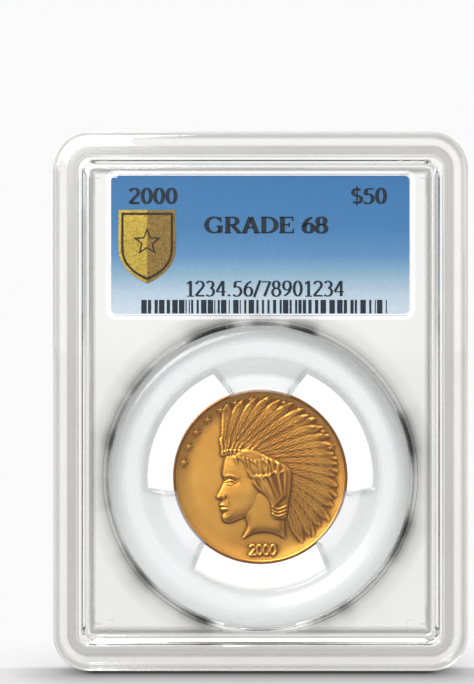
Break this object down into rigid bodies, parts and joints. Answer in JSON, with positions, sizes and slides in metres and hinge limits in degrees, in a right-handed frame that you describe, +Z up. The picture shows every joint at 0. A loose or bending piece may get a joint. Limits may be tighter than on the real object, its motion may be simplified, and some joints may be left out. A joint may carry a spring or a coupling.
{
  "type": "graded coin slab",
  "caption": "Flat clear two-shell holder with a raised rim, sealed round a coin gripped by a three-prong round insert, with a printed label card above it.",
  "frame": {"origin": "middle of the bottom edge the slab stands on, at half its thickness", "axes": "+Z up along the slab's height, +X to the right seen from the front, front face towards -Y and back face towards +Y"},
  "size_m": [0.0636, 0.008, 0.0826],
  "materials": {
    "clear_shell": "clear moulded polystyrene, polished, colourless with a faint warm grey in its edges",
    "clear_insert": "clear flexible plastic, slightly milky",
    "coin_gold": "struck gold with soft mint lustre and a warm copper tone",
    "label_paper": "coated card printed with a blue gradient that fades to pale lavender at the bottom",
    "gold_foil": "glittering gold security foil",
    "silver_foil": "silver diffraction foil with a fine geometric pattern"
  },
  "bodies": {
    "root": {"front_shell": "clear_shell", "back_shell": "clear_shell", "coin_insert": "clear_insert", "coin": "coin_gold", "label_card": "label_paper", "security_seal": "gold_foil", "hologram_foil": "silver_foil"}
  },
  "joints": []
}
